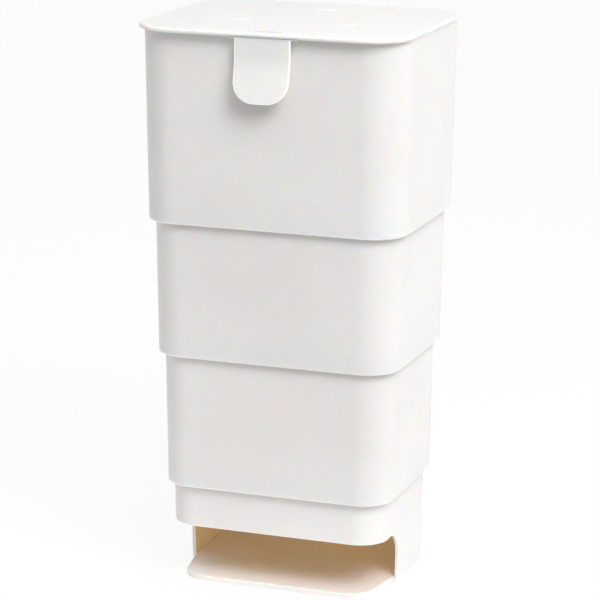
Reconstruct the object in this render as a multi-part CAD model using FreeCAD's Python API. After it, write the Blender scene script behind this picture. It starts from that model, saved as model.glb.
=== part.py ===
"""Hand-pressed telescoping trash compactor: four nested rounded-box stages, a hinged lid and a front mouth.

Millimetres, +Z up, front towards -Y. The stages stand extended, each hanging on the collar of the one below.
Every stage narrows downwards by the same draft, so a stage always has most room when it is pressed down.
The whole part is moved in Y at export, so that the origin is at the centre of the footprint's bounding box.
"""

import FreeCAD
import Part
import math
import os

V = FreeCAD.Vector

# ---- driving dimensions: the stack
UPPER_WIDTH = 180.0          # outside width of the upper shell at its top edge
UPPER_DEPTH = 142.0          # outside depth of the upper shell at its top edge
UPPER_CORNER_RADIUS = 26.0   # vertical corner of the upper shell at its top edge
CORNER_RADIUS_DROP = 2.0     # each stage's corner is this much tighter than the stage outside it
DRAFT = 0.016                # inward lean of every wall, mm per mm of height
STAGE_STEP = 3.4             # from a stage's outside face to the next one's, at the joint line
FOOT_STANDOFF = 0.6          # the rubber pads hold the base this far off the surface
BASE_EXPOSED = 66.4          # height of each stage that shows when extended
LOWER_EXPOSED = 89.7
MIDDLE_EXPOSED = 89.9
UPPER_HEIGHT = 124.6

# ---- driving dimensions: walls, lips and collars
WALL = 1.8                   # upper, middle and lower shells
BASE_WALL = 2.4              # base shell
LIP_HEIGHT = 2.0             # inward lip round the bottom of each sliding shell
LIP_CLEARANCE = 0.4          # from the lip to the stage that slides in it
EDGE_ROUND = 0.5             # rounded bottom edge of each sliding shell
COLLAR_HEIGHT = 11.5         # thickened top band of each inner stage
COLLAR_CLEARANCE = 0.6       # from the collar to the wall outside it
STOP_GAP = 0.3               # from the collar down to the lip that stops it
PAD_STRIP_WIDTH = 28.0       # rubber slide pads let into the collar, one in the middle of each side
PAD_STRIP_HEIGHT = 4.5
PAD_STRIP_RISE = 3.5         # pad's lower edge above the collar's lower edge
PAD_STRIP_DEPTH = 0.9
PAD_STRIP_CLEARANCE = 0.3    # from the pad to the wall outside it

# ---- driving dimensions: mouth and floor
MOUTH_HEIGHT = 38.9          # underside of the front wall above the surface
MOUTH_BACK = -11.7           # the side walls are cut away as far back as this
MOUTH_RADIUS = 19.5          # upper rear corner of the cut in each side wall
MOUTH_EDGE_ROUND = 0.7
FLOOR_THICKNESS = 3.6
FLOOR_CLEARANCE = 0.3        # between the floor plate and the base walls
FLOOR_CORNER_RADIUS = 17.0   # front corners of the floor plate
FLOOR_SETBACK = 1.1          # from the base's outside front plane in to the floor plate's front edge
FLOOR_TAPER = 0.18           # how fast each side of the plate closes in ahead of the mouth's back, mm per mm
FLOOR_EDGE_ROUND = 1.2
LUG_WIDTH = 16.0             # lugs that lock the floor plate into the base walls
LUG_HEIGHT = 1.6
LUG_REACH = 1.2
LUG_RISE = 1.0
LUG_CLEARANCE = 0.1
SIDE_LUG_SETBACK = 2.0       # from the start of the rear corner to the lug in each side wall
PAD_RADIUS = 7.0             # rubber pads under the floor plate
PAD_RECESS = 1.0
PAD_CLEARANCE = 0.1
PAD_INSET = 20.0             # from the floor plate's side and front edges to a pad's centre

# ---- driving dimensions: lid
LID_THICKNESS = 2.8
LID_GAP = 0.6                # between the upper shell's top edge and the lid
LID_SIDE_OVERHANG = 1.5
LID_FRONT_OVERHANG = 6.5
LID_BACK_OVERHANG = 2.5
LID_EDGE_ROUND = 1.1
RIB_HEIGHT = 5.0             # locating rib under the lid
RIB_THICKNESS = 1.6
RIB_CLEARANCE = 0.9
VENT_COUNT = 3
VENT_SPREAD = 42.0           # radius of the circle that the vents' holes lie on
VENT_FIRST_DEG = 90.0
VENT_RADIUS = 2.9            # round end of each teardrop scoop
VENT_LENGTH = 13.0           # from the round end's centre to the point
VENT_DEPTH = 1.7             # scoop's depth at its round end
VENT_HOLE_RADIUS = 1.9
CATCH_SLOT_WIDTH = 20.0      # slot above the latch hook
CATCH_SLOT_DEPTH = 7.0
CATCH_SLOT_SETBACK = 6.5     # from the lid's front edge to the slot

# ---- driving dimensions: hinge
HINGE_SPACING = 72.0         # between the middles of the two hinge notches
NOTCH_WIDTH = 16.0
NOTCH_DEPTH = 8.2
HINGE_DROP = 3.9             # pin centre below the upper shell's top edge
PIN_RADIUS = 1.2
PIN_CLEARANCE = 0.08
PIN_GRIP = 4.0               # how far each pin runs into the wall boss at either side
BOSS_RADIUS = 2.9
BOSS_LENGTH = 6.0
KNUCKLE_RADIUS = 2.9
KNUCKLE_WIDTH = 14.0
CLIP_MOUTH = 1.9             # opening of the clip-on knuckle, below the pin
HINGE_SLOT_WIDTH = 15.0
HINGE_SLOT_DEPTH = 3.6
HINGE_SLOT_GAP = 1.2         # from the knuckle to the slot in front of it

# ---- driving dimensions: pull tab
TAB_WIDTH = 37.5
TAB_LENGTH = 41.4            # below the lid's underside
TAB_THICKNESS = 1.7
TAB_CORNER_RADIUS = 14.0
TAB_STRAIGHT = 11.0          # from the root down to the bend
TAB_BEND_RADIUS = 45.0
TAB_LEAN = 12.6              # degrees that the strip leans forwards below the bend
TAB_ROOT_WIDTH = 47.0
TAB_ROOT_HEIGHT = 1.0
TAB_ROOT_DEPTH = 3.2
TAB_LID_GAP = 0.15
HOOK_WIDTH = 18.0
HOOK_DROP = 11.0             # hook's middle below the lid's underside
HOOK_REACH = 1.3
HOOK_HALF_HEIGHT = 1.8
BEAD_WIDTH = 22.0            # bead on the upper shell that the hook catches under
BEAD_HALF_HEIGHT = 1.5
BEAD_RISE = 3.6              # bead's middle above the hook's middle
BEAD_CLEARANCE = 0.35        # from the bead to the hook's path

# ---- worked out from the driving dimensions
BASE_TOP_LINE = FOOT_STANDOFF + BASE_EXPOSED
LOWER_TOP_LINE = BASE_TOP_LINE + LOWER_EXPOSED
MIDDLE_TOP_LINE = LOWER_TOP_LINE + MIDDLE_EXPOSED
RIM_Z = MIDDLE_TOP_LINE + UPPER_HEIGHT
LID_UNDERSIDE_Z = RIM_Z + LID_GAP
LID_TOP_Z = LID_UNDERSIDE_Z + LID_THICKNESS
COLLAR_RISE = LIP_HEIGHT + STOP_GAP
OVERLAP = COLLAR_RISE + COLLAR_HEIGHT
OVERCUT = 20.0
TOUCH = 1e-3
HALF_TURN = 180.0
RAD = math.pi / HALF_TURN
SIDES = {"front": (0, -1), "back": (0, 1), "left": (-1, 0), "right": (1, 0)}


def outline(half_width, half_depth, radius, z):
    """Closed wire of a rounded rectangle centred on the Z axis."""
    w, d, r = half_width, half_depth, radius
    edges = []
    corners = [(w - r, d - r, 0), (r - w, d - r, 90), (r - w, r - d, 180), (w - r, r - d, 270)]
    ends = []
    for cx, cy, start in corners:
        points = [V(cx + r * math.cos((start + a) * RAD), cy + r * math.sin((start + a) * RAD), z) for a in (0, 45, 90)]
        edges.append(Part.Arc(*points).toShape())
        ends.append((points[0], points[2]))
    for i, (_, last) in enumerate(ends):
        edges.insert(2 * i + 1, Part.LineSegment(last, ends[(i + 1) % len(ends)][0]).toShape())
    return Part.Wire(edges)


def box(x0, x1, y0, y1, z0, z1):
    """Axis-aligned box from its limits."""
    return Part.makeBox(x1 - x0, y1 - y0, z1 - z0, V(x0, y0, z0))


def along_x(radius, x0, x1, y, z):
    """Cylinder along X."""
    return Part.makeCylinder(radius, x1 - x0, V(x0, y, z), V(1, 0, 0))


def prism_x(points, x0, x1):
    """Prism along X from (y, z) corners."""
    wire = Part.makePolygon([V(x0, y, z) for y, z in points + points[:1]])
    return Part.Face(wire).extrude(V(x1 - x0, 0, 0))


def rounded(shape, radius, wanted):
    """Shape with every edge that wanted(edge) accepts rounded."""
    return shape.makeFillet(radius, [e for e in shape.Edges if wanted(e)])


def flat_at(z):
    """Test for an edge that lies in the plane at z."""
    return lambda e: abs(e.BoundBox.ZMin - z) < TOUCH and abs(e.BoundBox.ZMax - z) < TOUCH


class Stage:
    """The drafted outside of one stage. Its sizes are given at one height and lean in below it."""

    def __init__(self, half_width, half_depth, radius, at_z, bottom, wall):
        self.half_width, self.half_depth, self.radius = half_width, half_depth, radius
        self.at_z, self.bottom, self.wall = at_z, bottom, wall

    def lean(self, z):
        return DRAFT * (z - self.at_z)

    def wire(self, z, inset=0.0):
        grow = self.lean(z) - inset
        return outline(self.half_width + grow, self.half_depth + grow, self.radius + grow, z)

    def solid(self, z0, z1, inset=0.0):
        return Part.makeLoft([self.wire(z0, inset), self.wire(z1, inset)], True, True)

    def front(self, z, inset=0.0):
        """Y of the front face at z."""
        return -(self.half_depth + self.lean(z) - inset)

    def inside(self, bottom, wall):
        """The next stage in, which is one step smaller at this stage's bottom edge."""
        shrink = self.lean(self.bottom) - STAGE_STEP
        return Stage(
            self.half_width + shrink, self.half_depth + shrink,
            self.radius - CORNER_RADIUS_DROP, self.bottom, bottom, wall,
        )


UPPER = Stage(UPPER_WIDTH / 2, UPPER_DEPTH / 2, UPPER_CORNER_RADIUS, RIM_Z, MIDDLE_TOP_LINE, WALL)
MIDDLE = UPPER.inside(LOWER_TOP_LINE, WALL)
LOWER = MIDDLE.inside(BASE_TOP_LINE, WALL)
BASE = LOWER.inside(FOOT_STANDOFF, BASE_WALL)

HINGE_Y = UPPER.half_depth - WALL / 2
HINGE_Z = RIM_Z - HINGE_DROP
LID_FRONT_Y = -(UPPER.half_depth + LID_FRONT_OVERHANG)
LID_BACK_Y = UPPER.half_depth + LID_BACK_OVERHANG
TAB_ROOT_Y = LID_FRONT_Y + LID_EDGE_ROUND
TAB_LEAN_ANGLE = math.radians(TAB_LEAN)
TAB_LEANING_HEIGHT = TAB_LENGTH - TAB_LID_GAP - TAB_STRAIGHT - TAB_BEND_RADIUS * math.sin(TAB_LEAN_ANGLE)
TAB_FLARE = TAB_BEND_RADIUS * (1 - math.cos(TAB_LEAN_ANGLE)) + TAB_LEANING_HEIGHT * math.tan(TAB_LEAN_ANGLE)
TAB_TIP_Y = TAB_ROOT_Y - TAB_FLARE
HOOK_Z = LID_UNDERSIDE_Z - HOOK_DROP
HOOK_NOSE_Y = TAB_ROOT_Y + TAB_THICKNESS + HOOK_REACH
BEAD_Z = HOOK_Z + BEAD_RISE
BEAD_NOSE_Y = HOOK_NOSE_Y + BEAD_CLEARANCE
FRAME_SHIFT = V(0, -(TAB_TIP_Y + LID_BACK_Y) / 2, 0)


def collar(inner, outer):
    """Thickened top band of an inner stage: it follows the wall outside it, and rests on that wall's lip."""
    z0 = outer.bottom + COLLAR_RISE
    return outer.solid(z0, z0 + COLLAR_HEIGHT, outer.wall + COLLAR_CLEARANCE)


def pad_window(outer, side):
    """Space in the middle of one side of a collar, through which a slide pad bears on the wall outside it."""
    z0 = outer.bottom + COLLAR_RISE + PAD_STRIP_RISE
    half = PAD_STRIP_WIDTH / 2
    if side[0]:
        x0, x1 = sorted((0, side[0] * UPPER_WIDTH))
        return box(x0, x1, -half, half, z0, z0 + PAD_STRIP_HEIGHT)
    y0, y1 = sorted((0, side[1] * UPPER_DEPTH))
    return box(-half, half, y0, y1, z0, z0 + PAD_STRIP_HEIGHT)


def pad_strip(outer, side, face_inset):
    """Strip from the floor of a pad's pocket out to face_inset from the outer stage's outside face."""
    floor_inset = outer.wall + COLLAR_CLEARANCE + PAD_STRIP_DEPTH
    z0 = outer.bottom + COLLAR_RISE
    z1 = z0 + COLLAR_HEIGHT
    ring = outer.solid(z0, z1, face_inset).cut(outer.solid(z0, z1, floor_inset))
    return ring.common(pad_window(outer, side))


def slide_pad(outer, side):
    """Rubber pad that drags on the wall outside it, so that a stage stays where it is put."""
    return pad_strip(outer, side, outer.wall + PAD_STRIP_CLEARANCE)


def add_collar(shell, inner, outer):
    """Join the collar on to an inner stage, and cut the pockets for its slide pads."""
    shell = shell.fuse(collar(inner, outer))
    for side in SIDES.values():
        shell = shell.cut(pad_strip(outer, side, outer.wall))
    return shell


def sliding_shell(stage, outer, inner, top):
    """A wall open at the top, with an inward lip at the bottom that the inner stage passes through."""
    blank = stage.solid(stage.bottom, top)
    shell = rounded(blank, EDGE_ROUND, flat_at(stage.bottom))
    if outer is not None:
        shell = add_collar(shell, stage, outer)
    shell = shell.cut(stage.solid(stage.bottom + LIP_HEIGHT, top + OVERCUT, stage.wall))
    passage = inner.solid(stage.bottom - OVERCUT, stage.bottom + OVERCUT, -LIP_CLEARANCE)
    return shell.cut(passage)


def hinge_centres():
    return (-HINGE_SPACING / 2, HINGE_SPACING / 2)


def upper_shell():
    """Largest shell: notched at the back for the hinge knuckles, with a bead in front for the latch."""
    shell = sliding_shell(UPPER, None, MIDDLE, RIM_Z)
    half_notch = NOTCH_WIDTH / 2
    for x in hinge_centres():
        for side in (-1, 1):
            x0, x1 = sorted((x + side * half_notch, x + side * (half_notch + BOSS_LENGTH)))
            boss = along_x(BOSS_RADIUS, x0, x1, HINGE_Y, HINGE_Z)
            shell = shell.fuse(boss.common(box(x0, x1, HINGE_Y - OVERCUT, UPPER.half_depth - WALL / 2, 0, RIM_Z)))
        shell = shell.cut(box(x - half_notch, x + half_notch, 0, OVERCUT + HINGE_Y, RIM_Z - NOTCH_DEPTH, RIM_Z + 1))
        grip = half_notch + PIN_GRIP
        shell = shell.cut(along_x(PIN_RADIUS, x - grip, x + grip, HINGE_Y, HINGE_Z))
    wall_y = UPPER.front(BEAD_Z) + WALL / 2
    low_z, high_z = BEAD_Z - 2 * BEAD_HALF_HEIGHT, BEAD_Z + 2 * BEAD_HALF_HEIGHT
    profile = [(wall_y, low_z), (BEAD_NOSE_Y, BEAD_Z), (wall_y, high_z)]
    return shell.fuse(prism_x(profile, -BEAD_WIDTH / 2, BEAD_WIDTH / 2)).removeSplitter()


def middle_shell():
    return sliding_shell(MIDDLE, UPPER, LOWER, MIDDLE_TOP_LINE + OVERLAP)


def lower_shell():
    return sliding_shell(LOWER, MIDDLE, BASE, LOWER_TOP_LINE + OVERLAP)


def mouth_cutter():
    """Space cut out of the base: the whole front and the front part of both sides, rounded at the top rear."""
    z, y, r = MOUTH_HEIGHT, MOUTH_BACK, MOUTH_RADIUS
    far_y, low_z, x = -UPPER_DEPTH, -OVERCUT, -UPPER_WIDTH
    bend = r * (1 - math.sqrt(0.5))
    edges = [
        Part.LineSegment(V(x, far_y, low_z), V(x, far_y, z)).toShape(),
        Part.LineSegment(V(x, far_y, z), V(x, y - r, z)).toShape(),
        Part.Arc(V(x, y - r, z), V(x, y - bend, z - bend), V(x, y, z - r)).toShape(),
        Part.LineSegment(V(x, y, z - r), V(x, y, low_z)).toShape(),
        Part.LineSegment(V(x, y, low_z), V(x, far_y, low_z)).toShape(),
    ]
    return Part.Face(Part.Wire(edges)).extrude(V(2 * UPPER_WIDTH, 0, 0))


def on_mouth_edge(edge):
    """Test for an edge that runs round the mouth, outside or inside the wall."""
    b = edge.BoundBox
    return b.YMax < MOUTH_BACK + TOUCH and b.ZMax < MOUTH_HEIGHT + TOUCH and b.DiagonalLength > BASE_WALL + 1


def lug_boxes(grow):
    """Lugs round the rear of the floor plate, or with grow their pockets in the base walls."""
    z0 = FOOT_STANDOFF + LUG_RISE - grow
    z1 = z0 + LUG_HEIGHT + 2 * grow
    half = LUG_WIDTH / 2 + grow
    side = BASE.half_width + BASE.lean(z0) - BASE.wall
    back = BASE.half_depth + BASE.lean(z0) - BASE.wall
    side_y = BASE.half_depth - BASE.radius - SIDE_LUG_SETBACK - LUG_WIDTH / 2
    reach = LUG_REACH + grow
    lugs = [box(-half, half, back - WALL, back + reach, z0, z1)]
    for sign in (-1, 1):
        x0, x1 = sorted((sign * (side - WALL), sign * (side + reach)))
        lugs.append(box(x0, x1, side_y - half, side_y + half, z0, z1))
    return lugs


def base_shell():
    """Smallest shell: bottomless, with the bag mouth in front, and the collar that the lower shell hangs on."""
    top = BASE_TOP_LINE + OVERLAP
    shell = add_collar(BASE.solid(BASE.bottom, top), BASE, LOWER)
    shell = shell.cut(BASE.solid(BASE.bottom - 1, top + OVERCUT, BASE.wall))
    shell = shell.cut(mouth_cutter())
    shell = rounded(shell, MOUTH_EDGE_ROUND, on_mouth_edge)
    for pocket in lug_boxes(LUG_CLEARANCE):
        shell = shell.cut(pocket)
    return shell.removeSplitter()


def floor_half_sizes():
    """Half the width and depth of the floor plate where it stands between the base walls."""
    inset = BASE.wall + FLOOR_CLEARANCE
    lean = BASE.lean(FOOT_STANDOFF)
    return BASE.half_width + lean - inset, BASE.half_depth + lean - inset


def floor_blank(z0, z1):
    """Floor plate blank: it fills the base between its walls, and narrows to rounder corners ahead of the mouth."""
    half_width, half_depth = floor_half_sizes()
    front = BASE.front(FOOT_STANDOFF) + FLOOR_SETBACK
    front_half = half_width - FLOOR_TAPER * (MOUTH_BACK - front)
    corners = [(half_width, half_depth), (-half_width, half_depth), (-half_width, MOUTH_BACK)]
    corners += [(-front_half, front), (front_half, front), (half_width, MOUTH_BACK)]
    points = [V(x, y, z0) for x, y in corners + corners[:1]]
    blank = Part.Face(Part.makePolygon(points)).extrude(V(0, 0, z1 - z0))
    rear_radius = BASE.radius + BASE.lean(FOOT_STANDOFF) - BASE.wall - FLOOR_CLEARANCE

    def upright_at(y):
        """Test for a vertical edge at y."""
        return lambda e: e.BoundBox.ZLength > TOUCH and abs(e.BoundBox.YMin - y) < TOUCH

    blank = rounded(blank, rear_radius, upright_at(half_depth))
    return rounded(blank, FLOOR_CORNER_RADIUS, upright_at(front))


def pad_centres():
    half_width, half_depth = floor_half_sizes()
    x, y = half_width - PAD_INSET, half_depth - PAD_INSET
    return {"front_left": (-x, -y), "front_right": (x, -y), "rear_left": (-x, y), "rear_right": (x, y)}


def foot_pad(x, y):
    pad = Part.makeCylinder(PAD_RADIUS, FOOT_STANDOFF + PAD_RECESS, V(x, y, 0))
    return pad.makeChamfer(FOOT_STANDOFF / 2, [e for e in pad.Edges if flat_at(0)(e)])


def floor_plate():
    """Plate under the bags. It reaches forward through the mouth as a tray, and locks in by three lugs."""
    z0 = FOOT_STANDOFF
    z1 = z0 + FLOOR_THICKNESS
    plate = rounded(floor_blank(z0, z1), FLOOR_EDGE_ROUND, flat_at(z1))
    for x, y in pad_centres().values():
        plate = plate.cut(Part.makeCylinder(PAD_RADIUS + PAD_CLEARANCE, PAD_RECESS, V(x, y, z0)))
    for lug in lug_boxes(0):
        plate = plate.fuse(lug)
    return plate.removeSplitter()


def vent_cutter(x, y):
    """Teardrop scoop in the lid's top, sloping down from a point on the left to a round end with a hole in it."""
    z0, z1 = LID_TOP_Z - VENT_DEPTH, LID_TOP_Z + 1
    touch_x = x - VENT_RADIUS ** 2 / VENT_LENGTH
    touch_y = VENT_RADIUS * math.sqrt(1 - (VENT_RADIUS / VENT_LENGTH) ** 2)
    tip_x = x - VENT_LENGTH
    corners = [V(tip_x, y, z0), V(touch_x, y - touch_y, z0), V(touch_x, y + touch_y, z0), V(tip_x, y, z0)]
    drop = Part.Face(Part.makePolygon(corners)).extrude(V(0, 0, z1 - z0))
    drop = drop.fuse(Part.makeCylinder(VENT_RADIUS, z1 - z0, V(x, y, z0)))
    ramp = [V(tip_x, y - VENT_LENGTH, LID_TOP_Z), V(x + VENT_LENGTH, y - VENT_LENGTH, LID_TOP_Z - 2 * VENT_DEPTH)]
    ramp += [V(x + VENT_LENGTH, y - VENT_LENGTH, z1), V(tip_x, y - VENT_LENGTH, z1)]
    above = Part.Face(Part.makePolygon(ramp + ramp[:1])).extrude(V(0, 2 * VENT_LENGTH, 0))
    return drop.common(above).fuse(Part.makeCylinder(VENT_HOLE_RADIUS, 2 * LID_THICKNESS, V(x, y, LID_UNDERSIDE_Z - 1)))


def lid_rib():
    """Locating rib that drops inside the upper shell. It stops where the rear corners start, clear of the hinge."""
    z0, z1 = LID_UNDERSIDE_Z - RIB_HEIGHT, LID_UNDERSIDE_Z + LID_THICKNESS / 2
    inset = UPPER.wall + RIB_CLEARANCE
    rib = UPPER.solid(z0, z1, inset).cut(UPPER.solid(z0 - 1, z1 + 1, inset + RIB_THICKNESS))
    rear = UPPER.half_depth - UPPER.radius
    return rib.cut(box(-UPPER_WIDTH, UPPER_WIDTH, rear, UPPER_DEPTH, z0 - 1, z1 + 1))


def hinge_knuckle(x):
    """Clip that turns on a hinge pin, joined to the lid by a web."""
    x0, x1 = x - KNUCKLE_WIDTH / 2, x + KNUCKLE_WIDTH / 2
    clip = along_x(KNUCKLE_RADIUS, x0, x1, HINGE_Y, HINGE_Z)
    web = box(x0, x1, HINGE_Y - KNUCKLE_RADIUS, HINGE_Y + WALL / 2, HINGE_Z, LID_UNDERSIDE_Z + LID_THICKNESS / 2)
    clip = clip.fuse(web).cut(along_x(PIN_RADIUS + PIN_CLEARANCE, x0, x1, HINGE_Y, HINGE_Z))
    half = CLIP_MOUTH / 2
    return clip.cut(box(x0, x1, HINGE_Y - half, HINGE_Y + half, HINGE_Z - OVERCUT, HINGE_Z))


def lid_panel():
    """Flat lid with a locating rib, two hinge knuckles, three vents and a slot over each moulded undercut."""
    z0, z1 = LID_UNDERSIDE_Z, LID_TOP_Z
    half_width = UPPER.half_width + LID_SIDE_OVERHANG
    half_depth = (LID_BACK_Y - LID_FRONT_Y) / 2
    radius = UPPER.radius + LID_SIDE_OVERHANG
    plate = Part.Face(outline(half_width, half_depth, radius, z0)).extrude(V(0, 0, LID_THICKNESS))
    plate.translate(V(0, (LID_BACK_Y + LID_FRONT_Y) / 2, 0))
    plate = rounded(plate, LID_EDGE_ROUND, lambda e: flat_at(z0)(e) or flat_at(z1)(e))
    lid = plate.fuse(lid_rib())
    for x in hinge_centres():
        lid = lid.fuse(hinge_knuckle(x))
    for i in range(VENT_COUNT):
        angle = (VENT_FIRST_DEG + i * 2 * HALF_TURN / VENT_COUNT) * RAD
        centre_x = VENT_SPREAD * math.cos(angle) + VENT_LENGTH / 2
        lid = lid.cut(vent_cutter(centre_x, VENT_SPREAD * math.sin(angle)))
    slot_y = LID_FRONT_Y + CATCH_SLOT_SETBACK
    half = CATCH_SLOT_WIDTH / 2
    lid = lid.cut(box(-half, half, slot_y, slot_y + CATCH_SLOT_DEPTH, z0 - RIB_HEIGHT - 1, z1 + 1))
    half = HINGE_SLOT_WIDTH / 2
    slot_back = HINGE_Y - KNUCKLE_RADIUS - HINGE_SLOT_GAP
    for x in hinge_centres():
        lid = lid.cut(box(x - half, x + half, slot_back - HINGE_SLOT_DEPTH, slot_back, z0 - 1, z1 + 1))
    return lid.removeSplitter()


def hinge_pin(x):
    grip = NOTCH_WIDTH / 2 + PIN_GRIP
    return along_x(PIN_RADIUS, x - grip, x + grip, HINGE_Y, HINGE_Z)


def tab_line(x, offset):
    """Edges of one face of the tab, at an offset behind its front: straight down, a bend forwards and a lean."""
    radius = TAB_BEND_RADIUS + offset
    top = LID_UNDERSIDE_Z - TAB_LID_GAP
    bend_y, bend_z = TAB_ROOT_Y - TAB_BEND_RADIUS, top - TAB_STRAIGHT
    start, middle, end = [
        V(x, bend_y + radius * math.cos(angle), bend_z - radius * math.sin(angle))
        for angle in (0, TAB_LEAN_ANGLE / 2, TAB_LEAN_ANGLE)
    ]
    low = end + V(0, -math.sin(TAB_LEAN_ANGLE), -math.cos(TAB_LEAN_ANGLE)) * TAB_LENGTH
    return [
        Part.LineSegment(V(x, start.y, top), start).toShape(),
        Part.Arc(start, middle, end).toShape(),
        Part.LineSegment(end, low).toShape(),
    ]


def tab_sheet():
    """Sheet that hangs from the lid's front edge and bends forwards, longer than the tab."""
    half_width = TAB_WIDTH / 2
    front, back = tab_line(-half_width, 0), tab_line(-half_width, TAB_THICKNESS)
    ends = [
        Part.LineSegment(front[0].firstVertex().Point, back[0].firstVertex().Point).toShape(),
        Part.LineSegment(front[-1].lastVertex().Point, back[-1].lastVertex().Point).toShape(),
    ]
    wire = Part.Wire(Part.__sortEdges__(front + back + ends))
    return Part.Face(wire).extrude(V(2 * half_width, 0, 0))


def pull_tab():
    """Finger tab: a strip bent forwards, with round lower corners, a wider root under the lid and a latch hook."""
    top, tip = LID_UNDERSIDE_Z, LID_UNDERSIDE_Z - TAB_LENGTH
    w, r = TAB_WIDTH / 2, TAB_CORNER_RADIUS
    y0 = TAB_TIP_Y - 1
    deep = TAB_FLARE + TAB_THICKNESS + 2
    keep = box(-w, w, y0, y0 + deep, tip + r, top).fuse(box(r - w, w - r, y0, y0 + deep, tip, top))
    for x in (r - w, w - r):
        keep = keep.fuse(Part.makeCylinder(r, deep, V(x, y0, tip + r), V(0, 1, 0)))
    strip = tab_sheet().common(keep)
    root_top = LID_UNDERSIDE_Z - TAB_LID_GAP
    root = box(
        -TAB_ROOT_WIDTH / 2, TAB_ROOT_WIDTH / 2, TAB_ROOT_Y, TAB_ROOT_Y + TAB_ROOT_DEPTH,
        root_top - TAB_ROOT_HEIGHT, root_top,
    )
    back_y = TAB_ROOT_Y + TAB_THICKNESS
    hook = prism_x(
        [
            (back_y - TAB_THICKNESS / 2, HOOK_Z - 2 * HOOK_HALF_HEIGHT),
            (HOOK_NOSE_Y, HOOK_Z),
            (HOOK_NOSE_Y, HOOK_Z + HOOK_HALF_HEIGHT / 3),
            (back_y - TAB_THICKNESS / 2, HOOK_Z + HOOK_HALF_HEIGHT),
        ],
        -HOOK_WIDTH / 2, HOOK_WIDTH / 2,
    )
    return strip.fuse(root).fuse(hook).removeSplitter()


def nodes():
    """Every sub-part, by name."""
    made = {
        "base_shell": base_shell(),
        "floor_plate": floor_plate(),
        "lower_shell": lower_shell(),
        "middle_shell": middle_shell(),
        "upper_shell": upper_shell(),
        "lid_panel": lid_panel(),
        "pull_tab": pull_tab(),
    }
    for stage, outer in (("base", LOWER), ("lower", MIDDLE), ("middle", UPPER)):
        for side, direction in SIDES.items():
            made[stage + "_slide_pad_" + side] = slide_pad(outer, direction)
    for side, x in zip(("left", "right"), hinge_centres()):
        made["hinge_pin_" + side] = hinge_pin(x)
    for place, (x, y) in pad_centres().items():
        made["foot_pad_" + place] = foot_pad(x, y)
    return made


def main():
    os.makedirs("parts", exist_ok=True)
    for name, shape in nodes().items():
        shape.translate(FRAME_SHIFT)
        solids = shape.Solids
        print(name, "valid" if shape.isValid() else "INVALID", len(solids), "solids", round(shape.Volume, 1), "mm3")
        shape.exportStep(os.path.join("parts", name + ".step"))
    print("hinge axis", HINGE_Y + FRAME_SHIFT.y, HINGE_Z)
    print("tab root", TAB_ROOT_Y + FRAME_SHIFT.y, LID_UNDERSIDE_Z - TAB_LID_GAP)
    print("travel", BASE_EXPOSED, LOWER_EXPOSED, MIDDLE_EXPOSED)


main()
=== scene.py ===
"""White hand-pressed trash compactor: four nested stages, a hinged lid with a pull tab, and a front mouth."""

import logging
import math
from dataclasses import dataclass, field
from enum import Enum
from typing import Optional, Sequence

import bmesh
import bpy
from mathutils import Matrix, Vector


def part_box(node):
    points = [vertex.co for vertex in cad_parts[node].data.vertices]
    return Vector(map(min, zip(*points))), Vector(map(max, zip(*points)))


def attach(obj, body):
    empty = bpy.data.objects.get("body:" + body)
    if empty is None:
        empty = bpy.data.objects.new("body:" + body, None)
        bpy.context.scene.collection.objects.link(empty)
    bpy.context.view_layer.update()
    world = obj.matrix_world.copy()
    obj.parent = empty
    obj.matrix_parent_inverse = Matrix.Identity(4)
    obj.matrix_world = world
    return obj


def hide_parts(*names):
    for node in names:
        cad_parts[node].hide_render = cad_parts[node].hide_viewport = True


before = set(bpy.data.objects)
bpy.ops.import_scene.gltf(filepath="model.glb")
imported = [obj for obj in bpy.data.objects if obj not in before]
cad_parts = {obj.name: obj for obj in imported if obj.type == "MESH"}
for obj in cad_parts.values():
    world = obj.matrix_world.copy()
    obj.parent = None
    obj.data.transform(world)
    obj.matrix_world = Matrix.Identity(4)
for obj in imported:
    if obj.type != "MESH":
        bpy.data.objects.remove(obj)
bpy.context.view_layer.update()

MM = 0.001
LOG = logging.getLogger("compactor")

# Sizes that every stage shares with the solids, in metres.
DRAFT = 0.016                 # inward lean of every wall, per unit of height
STAGE_STEP = 3.4 * MM         # from one outside face in to the next, at the joint line
CORNER_DROP = 2.0 * MM        # each stage's corner is this much tighter than the one outside it
WALL = 1.8 * MM
BASE_WALL = 2.4 * MM
COLLAR_CLEARANCE = 0.6 * MM
COLLAR_RISE = 2.3 * MM
LIP_HEIGHT = 2.0 * MM
LIP_CLEARANCE = 0.4 * MM
EDGE_ROUND = 0.5 * MM
RIM_ROUND = 0.45 * MM
ROUND_STEPS = 5               # facets in a small rounded edge
CORNER_STEPS = 18             # facets in a vertical corner
SIDE_STEPS = 8                # facets along a flat side
WALL_ROWS = 6                 # rows up a wall
QUARTER = math.pi / 2
EDGE_MARK = "rounded_edge"    # face attribute: 1 on the facets of a rounded edge
EDGE_FACET = 0.35 * MM        # those facets are narrower than this
EDGE_TURN = math.radians(6)   # and turn by more than this from one to the next
CREASE = math.radians(38)     # edges sharper than this stay sharp
CUT_PAST = 1 * MM             # how far a cutter stands out of what it cuts
COLLAR_BEVEL = 0.3 * MM


# ---------------------------------------------------------------- finishes


def linear(hex_colour: str) -> tuple[float, float, float, float]:
    """Turn an sRGB hex colour into linear RGBA.

    Args:
        hex_colour: six hex digits.

    Returns:
        Linear red, green, blue and an alpha of 1.
    """
    levels = [int(hex_colour[i : i + 2], 16) / 255 for i in (0, 2, 4)]
    red, green, blue = (v / 12.92 if v <= 0.04045 else ((v + 0.055) / 1.055) ** 2.4 for v in levels)
    return red, green, blue, 1.0


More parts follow.
